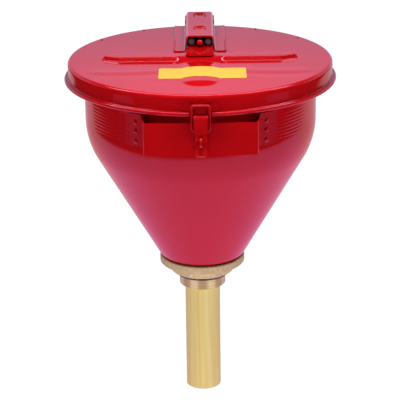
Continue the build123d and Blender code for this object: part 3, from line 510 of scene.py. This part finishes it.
def build_bowl(material):
    """Bowl as one closed sheet turned round Z, with relief on its straight wall."""
    outline = np.array(bowl_profile())
    count = len(outline)
    radius = np.tile(outline[:, 0], (BOWL_STEPS, 1))
    height = np.tile(outline[:, 1], (BOWL_STEPS, 1))
    turn = np.tile((2 * pi * np.arange(BOWL_STEPS) / BOWL_STEPS)[:, None], (1, count))
    from_front = (turn + pi) % (2 * pi) - pi
    is_wall = np.abs(radius - WALL_R) < WALL_TOLERANCE
    radius = radius + np.where(is_wall, wall_relief(from_front, height), 0)
    verts = np.stack([radius * np.sin(turn), -radius * np.cos(turn), height], axis=2).reshape(-1, 3)
    faces = []
    for s in range(BOWL_STEPS):
        faces += band(s * count, (s + 1) % BOWL_STEPS * count, count)
    new_piece("bowl_shell", "funnel", verts, faces, material, "bowl", slot="enamel_red", sharp=45)


# ---- springs -------------------------------------------------------------------------------------
def helix(centre, axis, radius, length, turns, per_turn=20):
    """Points of a coil that starts at centre and runs along the frame's X or Y axis."""
    points = []
    total = int(turns * per_turn)
    for i in range(total + 1):
        a = 2 * pi * i / per_turn
        along = length * i / total
        x, y = (radius * cos(a), along) if axis == "Y" else (along, radius * cos(a))
        points.append((centre[0] + x, centre[1] + y, centre[2] + radius * sin(a)))
    return points


def build_slide_springs(material):
    """Pair of compression springs on the guide rods, with a mesh of their own."""
    coil_r = (SPRINGS_HIGH.z - SPRINGS_LOW.z) / 2 - SLIDE_WIRE
    rod_x = SPRINGS_HIGH.x - coil_r - SLIDE_WIRE
    rod_z = (SPRINGS_HIGH.z + SPRINGS_LOW.z) / 2
    front = SPRINGS_LOW.y + SLIDE_WIRE
    length = BRIDGE_BACK - BRIDGE_SHEET - SLIDE_WIRE - front
    verts, faces = [], []
    for x in (-rod_x, rod_x):
        coil = helix((x, front, rod_z), "Y", coil_r, length, SLIDE_TURNS)
        more, quads = tube_along(coil, SLIDE_WIRE, 8)
        faces += [tuple(i + len(verts) for i in f) for f in quads]
        verts += more
    pair = new_piece("slide_spring_pair", "lid", verts, faces, material, "slide_springs", slot="spring_steel")
    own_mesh(pair)


def build_closing_spring(material):
    """Torsion spring round the hinge pin, one leg against the bracket and a short hook to the arm."""
    coil_r = (COIL_HIGH.z - COIL_LOW.z) / 2 - CLOSING_WIRE
    y = (COIL_HIGH.y + COIL_LOW.y) / 2
    z = (COIL_HIGH.z + COIL_LOW.z) / 2
    start = COIL_LOW.x + CLOSING_WIRE
    length = COIL_HIGH.x - CLOSING_WIRE - start
    coil = helix((start, y, z), "X", coil_r, length, CLOSING_TURNS)
    leg = [(start, y + out, z + up) for out, up in LEG]
    leg.append((start, y + coil_r * LEG_ROOT[0], z + coil_r * LEG_ROOT[1]))
    verts, faces = tube_along(leg + coil, CLOSING_WIRE, 10)
    new_piece("closing_spring_coil", "funnel", verts, faces, material, "closing_spring", slot="spring_steel")
    hook = [(coil[-1][0] + HOOK_BESIDE, y + out, z + coil_r + up) for out, up in HOOK]
    verts, faces = tube_along(hook, CLOSING_WIRE, 10)
    new_piece("closing_spring_leg", "lid", verts, faces, material, slot="spring_steel")


# ---- node trees ----------------------------------------------------------------------------------
class Nodes:
    """A node tree with short calls for the nodes used here. An input takes a value or a node's output."""

    def __init__(self, tree):
        self.tree = tree

    def add(self, kind, inputs, **settings):
        node = self.tree.nodes.new(kind)
        for name, value in settings.items():
            setattr(node, name, value)
        self.set(node, inputs)
        return node

    def set(self, node, inputs):
        for key, value in inputs.items():
            if isinstance(value, bpy.types.NodeSocket):
                self.tree.links.new(value, node.inputs[key])
            else:
                node.inputs[key].default_value = value

    def own_place(self):
        return self.add("ShaderNodeTexCoord", {}).outputs["Object"]

    def noise(self, place, scale, detail):
        inputs = {"Vector": place, "Scale": scale, "Detail": detail}
        return self.add("ShaderNodeTexNoise", inputs).outputs["Fac"]

    def ramp(self, value, start, end, low=0.0, high=1.0, kind="LINEAR"):
        """Runs from low to high while the value goes from start to end, and stays level outside."""
        ends = {"Value": value, "From Min": start, "From Max": end, "To Min": low, "To Max": high}
        return self.add("ShaderNodeMapRange", ends, interpolation_type=kind).outputs["Result"]

    def soft(self, value, start, end, low=0.0, high=1.0):
        """A ramp with level ends."""
        return self.ramp(value, start, end, low, high, "SMOOTHSTEP")

    def maths(self, operation, *values):
        return self.add("ShaderNodeMath", dict(enumerate(values)), operation=operation).outputs["Value"]

    def mix(self, factor, first, second):
        colours = {"Factor": factor, "A": first, "B": second}
        return self.add("ShaderNodeMix", colours, data_type="RGBA").outputs["Result"]

    def bump(self, height, strength, distance, **more):
        inputs = {"Height": height, "Strength": strength, "Distance": distance, **more}
        return self.add("ShaderNodeBump", inputs).outputs["Normal"]

    def split(self, vector):
        parts = self.add("ShaderNodeSeparateXYZ", {0: vector}).outputs
        return parts["X"], parts["Y"]

    def emission(self, colour, strength):
        return self.add("ShaderNodeEmission", {"Color": colour, "Strength": strength}).outputs["Emission"]

    def seen_or(self, unseen, seen):
        """One shader for camera rays and another for all other rays."""
        is_camera = self.add("ShaderNodeLightPath", {}).outputs["Is Camera Ray"]
        return self.add("ShaderNodeMixShader", {"Fac": is_camera, 1: unseen, 2: seen}).outputs["Shader"]


def new_material(name):
    """New node material and its nodes."""
    material = bpy.data.materials.new(name)
    material.use_nodes = True
    return material, Nodes(material.node_tree)


def finish_material(material, nodes, inputs):
    """Gives the material's Principled node its inputs."""
    nodes.set(material.node_tree.nodes["Principled BSDF"], inputs)
    return material


# ---- materials -----------------------------------------------------------------------------------
BLACK = (0.0, 0.0, 0.0, 1)
WHITE = (1.0, 1.0, 1.0, 1)
ENAMEL_DARK = (0.52, 0.0022, 0.0035, 1)
ENAMEL_LIGHT = (0.58, 0.0030, 0.0046, 1)
CORNER_REACH = 0.012       # painted shade: the enamel's colour is darkened where other surfaces are this close
CORNER_SHADE = 0.35
CORNER_FULL = 0.2
SAG_DEPTH = 0.0008         # relief of the gloss, wide and fine
PEEL_DEPTH = 0.00005
GRAIN_DEPTH = 0.0001
MOTTLE = (22.0, 4.0)       # scale and detail of each noise
SAG = (9.0, 1.0)
PEEL = (350.0, 1.0)
DUST = (700.0, 6.0)


def enamel():
    """Red gloss enamel: a mottled red film with painted shade in its corners, under a gloss with slight
    orange peel.
    """
    material, nodes = new_material("gloss_red_enamel")
    place = nodes.own_place()
    red = nodes.mix(nodes.noise(place, *MOTTLE), ENAMEL_DARK, ENAMEL_LIGHT)
    # painted shade: ambient occlusion darkens the enamel's colour in corners, gaps and under overhangs
    ao_shade_mask = nodes.add("ShaderNodeAmbientOcclusion", {"Distance": CORNER_REACH}, samples=8).outputs["AO"]
    corner = nodes.ramp(ao_shade_mask, CORNER_FULL, 1.0, CORNER_SHADE, 1.0)
    sag = nodes.bump(nodes.noise(place, *SAG), 1.0, SAG_DEPTH)
    return finish_material(material, nodes, {
        "Base Color": nodes.mix(corner, BLACK, red),
        "Roughness": 0.5,
        "Specular IOR Level": 0.0,
        "Coat Weight": 1.0,
        "Coat IOR": 1.5,
        "Coat Roughness": nodes.ramp(nodes.noise(place, *DUST), 0.3, 0.8, 0.03, 0.10),
        "Coat Normal": nodes.bump(nodes.noise(place, *PEEL), 0.25, PEEL_DEPTH, Normal=sag),
    })


def painted_highlight_bands(nodes, place, highlight_bands):
    """Painted highlight: bright and dark bands of tone round Z, that many of them, standing in for
    reflections on turned metal.
    """
    turn = nodes.maths("ARCTAN2", *nodes.split(place))
    wave = nodes.maths("COSINE", nodes.maths("MULTIPLY", turn, highlight_bands))
    return nodes.soft(wave, 0.7, -0.9)


def metal(name, dark, light, rough, scale=300.0, stretch=(1, 1, 1), bump=0.1, bare=1.0, rim=0.0, highlight_bands=0):
    """Metal with fine grain in two tones. A stretch far from 1 makes brushing, `bare` below 1 leaves a dull
    film, `rim` paints shade on surfaces seen edge-on and `highlight_bands` paints highlight bands round Z on
    turned metal."""
    material, nodes = new_material(name)
    place = nodes.own_place()
    stretched = nodes.add("ShaderNodeMapping", {"Vector": place, "Scale": stretch}).outputs["Vector"]
    grain = nodes.noise(stretched, scale, 5.0)
    # painted highlight: when bands are asked for, the tone comes in bright and dark bands round Z instead of
    # from the grain
    tone = painted_highlight_bands(nodes, place, highlight_bands) if highlight_bands else nodes.ramp(grain, 0.3, 0.7)
    colour = nodes.mix(tone, (*dark, 1), (*light, 1))
    # painted shade: surfaces seen edge-on get a darker colour, by `rim`
    if rim:
        edge_on_shade = nodes.add("ShaderNodeLayerWeight", {"Blend": 0.35}).outputs["Facing"]
        colour = nodes.mix(edge_on_shade, colour, (*(c * (1 - rim) for c in dark), 1))
    return finish_material(material, nodes, {
        "Base Color": colour,
        "Normal": nodes.bump(grain, bump, GRAIN_DEPTH),
        "Roughness": nodes.ramp(grain, 0.25, 0.75, rough * 0.8, rough * 1.25),
        "Metallic": bare,
    })


def matt(name, dark, light, rough, scale=900.0):
    """Non-metal with fine grain in two tones."""
    material, nodes = new_material(name)
    grain = nodes.noise(nodes.own_place(), scale, 3.0)
    return finish_material(material, nodes, {
        "Base Color": nodes.mix(grain, (*dark, 1), (*light, 1)),
        "Normal": nodes.bump(grain, 0.2, GRAIN_DEPTH),
        "Roughness": rough,
    })


MATERIALS = {
    "enamel_red": enamel(),
    # painted shade: the brass colours darken where seen edge-on
    "cast_brass": metal(
        "cast_brass", (0.74, 0.60, 0.24), (1.0, 0.84, 0.40), 0.6, scale=240.0, bump=0.6, bare=0.25, rim=0.5
    ),
    # turned brass: painted highlight bands round Z
    "turned_brass": metal(
        "turned_brass", (0.60, 0.46, 0.15), (1.0, 0.90, 0.34), 0.25,
        scale=60.0, stretch=(1, 1, 30), bump=0.2, bare=0.35, rim=0.5, highlight_bands=8,
    ),
    "drawn_brass": metal(
        "drawn_brass", (0.94, 0.76, 0.14), (1.0, 0.97, 0.33), 0.45,
        scale=240.0, stretch=(1, 1, 0.03), bump=0.25, bare=0.15, rim=0.4,
    ),
    "zinc_steel": metal("zinc_steel", (0.07, 0.07, 0.09), (0.11, 0.11, 0.14), 0.35, bare=0.5),
    "dark_steel": metal("dark_steel", (0.03, 0.03, 0.04), (0.06, 0.06, 0.08), 0.45),
    "spring_steel": metal("spring_steel", (0.14, 0.14, 0.16), (0.26, 0.26, 0.28), 0.35),
    "black_rubber": matt("black_rubber", (0.010, 0.008, 0.016), (0.020, 0.016, 0.028), 0.5),
    "fibre": matt("fibre", (0.08, 0.06, 0.05), (0.14, 0.11, 0.09), 0.8),
    "label_yellow": matt("label_yellow", (0.84, 0.45, 0.042), (0.92, 0.51, 0.055), 0.55, scale=500.0),
}
BEVELS = {
    "hinge_arm": 0.35,
    "keeper": 0.5,
    "latch_lever": 0.25,
    "latch_bracket": 0.35,
    "latch_base": 0.25,
    "padlock_staple": 0.4,
    "hold_open_slide": 0.3,
    "hinge_bracket": 0.4,
    "bung_flange": 0.35,
    "inner_locknut": 0.5,
    "arrester_collar": 0.25,
    "arrester_tube": 0.3,
    "spring_bridge": 0.2,
    "hinge_pin_clip": 0.15,
}


def dress_cad_nodes():
    """Every CAD node takes the material of its slot, and those with sheet or turned edges a small bevel."""
    slots = {s["node"]: s["material_slot"] for s in frame["record"]["subparts"]}
    for name, obj in frame["nodes"].items():
        obj.data.materials.clear()
        obj.data.materials.append(MATERIALS[slots[name]])
        if name in BEVELS:
            bevel = obj.modifiers.new("edges", "BEVEL")
            bevel.width = BEVELS[name] * MM
            bevel.segments = 2
            bevel.limit_method = "ANGLE"
            bevel.angle_limit = radians(35)
            bevel.harden_normals = True


# ---- camera --------------------------------------------------------------------------------------
CAMERA_BACK = 1604.8
CAMERA_ABOVE_LID = 439.3
CAMERA_PITCH = 20.236
CAMERA_ROLL = -0.683
CAMERA_LENS = 148.7
CAMERA_SHIFT = -0.0042


def add_camera():
    """Camera in front of the funnel, a little above its lid."""
    data = bpy.data.cameras.new("camera")
    data.lens = CAMERA_LENS
    data.sensor_width = 36.0
    data.shift_x = CAMERA_SHIFT
    data.clip_end = 20
    camera = bpy.data.objects.new("camera", data)
    bpy.context.scene.collection.objects.link(camera)
    place = Matrix.Translation((0, -CAMERA_BACK * MM, (LID_TOP + CAMERA_ABOVE_LID) * MM))
    tilt = Matrix.Rotation(radians(90 - CAMERA_PITCH), 4, "X")
    roll = Matrix.Rotation(radians(CAMERA_ROLL), 4, "Z")
    camera.matrix_world = place @ tilt @ roll
    bpy.context.scene.camera = camera


# ---- floor ---------------------------------------------------------------------------------------
SEEN_WHITE = 1.05          # strength of the floor and the backdrop to the camera
FLOOR_HALF = 6.0
POOL_CENTRE = (0.10, 0.70)
POOL_SQUEEZE = 1.3         # the pool is this much narrower than long
POOL_NEAR = 1.20
POOL_FAR = 1.40
POOL_LIGHT = 1.0
POOL_FRONT = (0.70, 0.48, 1.0, 1)
POOL_BACK = (0.70, 0.50, 0.58, 1)
POOL_CHANGE = 0.5          # the colour changes over this far behind the funnel
ROOM_LIGHT = 0.05
CARD_PLACE = (1.08, -0.48)
CARD_R = 0.27
CARD_LIGHT = 0.25


def spot(nodes, across, forward, centre, near, far, low, high):
    """Light that falls smoothly from high to low between two distances from a centre."""
    point = nodes.add("ShaderNodeCombineXYZ", {"X": across, "Y": forward}).outputs["Vector"]
    ends = {0: point, 1: (*centre, 0)}
    away = nodes.add("ShaderNodeVectorMath", ends, operation="DISTANCE").outputs["Value"]
    return nodes.soft(away, near, far, high, low)


def floor_material():
    """White to the camera. To other rays, a pool of light that runs far back and a pale card on each side."""
    material, nodes = new_material("pale_floor")
    x, y = nodes.split(nodes.add("ShaderNodeNewGeometry", {}).outputs["Position"])
    squeezed = nodes.maths("MULTIPLY", x, POOL_SQUEEZE)
    endless = nodes.maths("MINIMUM", y, POOL_CENTRE[1])
    centre = (POOL_CENTRE[0] * POOL_SQUEEZE, POOL_CENTRE[1])
    middle = spot(nodes, squeezed, endless, centre, POOL_NEAR, POOL_FAR, ROOM_LIGHT, POOL_LIGHT)
    either_side = nodes.maths("ABSOLUTE", x)
    card = spot(nodes, either_side, y, CARD_PLACE, CARD_R * 0.8, CARD_R, 0.0, CARD_LIGHT)
    colour = nodes.mix(nodes.soft(y, 0.0, POOL_CHANGE), POOL_FRONT, POOL_BACK)
    pool = nodes.emission(colour, nodes.maths("ADD", middle, card))
    surface = nodes.seen_or(pool, nodes.emission(WHITE, SEEN_WHITE))
    nodes.set(material.node_tree.nodes["Material Output"], {"Surface": surface})
    return material


def add_floor():
    """Large square under the funnel's lowest point."""
    size, z = FLOOR_HALF, FLOOR_Z * MM
    corners = [(-size, -size, z), (size, -size, z), (size, size, z), (-size, size, z)]
    mesh = bpy.data.meshes.new("floor")
    mesh.from_pydata(corners, [], [(0, 1, 2, 3)])
    mesh.materials.append(floor_material())
    floor = bpy.data.objects.new("floor", mesh)
    bpy.context.scene.collection.objects.link(floor)
    floor.visible_shadow = False


# ---- world ---------------------------------------------------------------------------------------
# Each pair gives the sines of the two directions between which a light fades in or out.
BEHIND = (-0.25, 0.55)
LOW_DOWN = (0.40, 0.62)
PALER_UP = (0.10, 0.42)
HORIZON = (0.0, 0.12)
STRIP_FRONT = (0.04, 0.10)
STRIP_REAR = (0.24, 0.30)
STRIP_END = (0.62, 0.72)
BACK_LOW = 0.84
BACK_HIGH = 0.60
HORIZON_LIGHT = 0.6
STRIP_LIGHT = 11.0
AMBIENT = 0.04
BACK_TINT = (0.83, 0.61, 0.92, 1)


def add_world():
    """White to the camera. In reflections, a band behind, a strip light overhead and a dark room in front."""
    world = bpy.data.worlds.new("studio")
    bpy.context.scene.world = world
    world.use_nodes = True
    world.node_tree.nodes.clear()
    nodes = Nodes(world.node_tree)
    way = nodes.add("ShaderNodeTexCoord", {}).outputs["Generated"]

    def towards(direction):
        ends = {0: way, 1: direction}
        return nodes.add("ShaderNodeVectorMath", ends, operation="DOT_PRODUCT").outputs["Value"]

    back, up = towards((0, 1, 0)), towards((0, 0, 1))
    low_down = nodes.soft(up, *LOW_DOWN, 1.0, 0.0)
    paler = nodes.soft(up, *PALER_UP, BACK_LOW, BACK_HIGH)
    glow = nodes.soft(up, *HORIZON, HORIZON_LIGHT, 0.0)
    height = nodes.maths("ADD", nodes.maths("MULTIPLY", low_down, paler), glow)
    backdrop = nodes.maths("MULTIPLY", nodes.soft(back, *BEHIND), height)
    strip = nodes.maths("MULTIPLY", nodes.soft(back, *STRIP_FRONT), nodes.soft(back, *STRIP_REAR, 1.0, 0.0))
    strip = nodes.maths("MULTIPLY", strip, nodes.soft(up, *STRIP_END, 0.0, STRIP_LIGHT))
    is_glossy = nodes.add("ShaderNodeLightPath", {}).outputs["Is Glossy Ray"]
    shine = nodes.maths("MULTIPLY", strip, is_glossy)
    total = nodes.maths("ADD", nodes.maths("ADD", backdrop, shine), AMBIENT)
    unseen = nodes.add("ShaderNodeBackground", {"Color": BACK_TINT, "Strength": total}).outputs["Background"]
    seen = nodes.add("ShaderNodeBackground", {"Color": WHITE, "Strength": SEEN_WHITE}).outputs["Background"]
    nodes.add("ShaderNodeOutputWorld", {"Surface": nodes.seen_or(unseen, seen)})
    bpy.context.scene.view_settings.view_transform = "Standard"


# ---- lights --------------------------------------------------------------------------------------
# name, place, target, size in metres and power in watts
LIGHTS = (
    ("key", (0.0, -0.18, 0.55), (0.0, -0.06, 0.22), 0.22, 1.8),
    ("fill_left", (-1.25, -1.00, -0.05), (0.0, 0.0, 0.12), 0.7, 9.0),
    ("fill_right", (1.25, -1.00, -0.05), (0.0, 0.0, 0.12), 0.7, 9.0),
    ("under_left", (-0.35, -0.45, -0.60), (0.0, 0.0, 0.10), 0.5, 1.3),
    ("under_right", (0.35, -0.45, -0.60), (0.0, 0.0, 0.10), 0.5, 1.3),
    ("rear", (0.0, 1.4, 0.9), (0.0, 0.0, 0.1), 0.9, 5.0),
)


def add_lights():
    """Large soft panels that don't show in the gloss."""
    for name, place, target, size, power in LIGHTS:
        data = bpy.data.lights.new(name, "AREA")
        data.size = size
        data.energy = power
        light = bpy.data.objects.new(name, data)
        aim = Vector(target) - Vector(place)
        light.matrix_world = Matrix.Translation(place) @ aim.to_track_quat("-Z", "Y").to_matrix().to_4x4()
        light.visible_glossy = False
        bpy.context.scene.collection.objects.link(light)


# ---- build ---------------------------------------------------------------------------------------
dress_cad_nodes()
build_lid(MATERIALS["enamel_red"])
build_pips(MATERIALS["enamel_red"])
build_label(MATERIALS["label_yellow"])
build_bowl(MATERIALS["enamel_red"])
build_slide_springs(MATERIALS["spring_steel"])
build_closing_spring(MATERIALS["spring_steel"])
add_camera()
add_floor()
add_world()
add_lights()
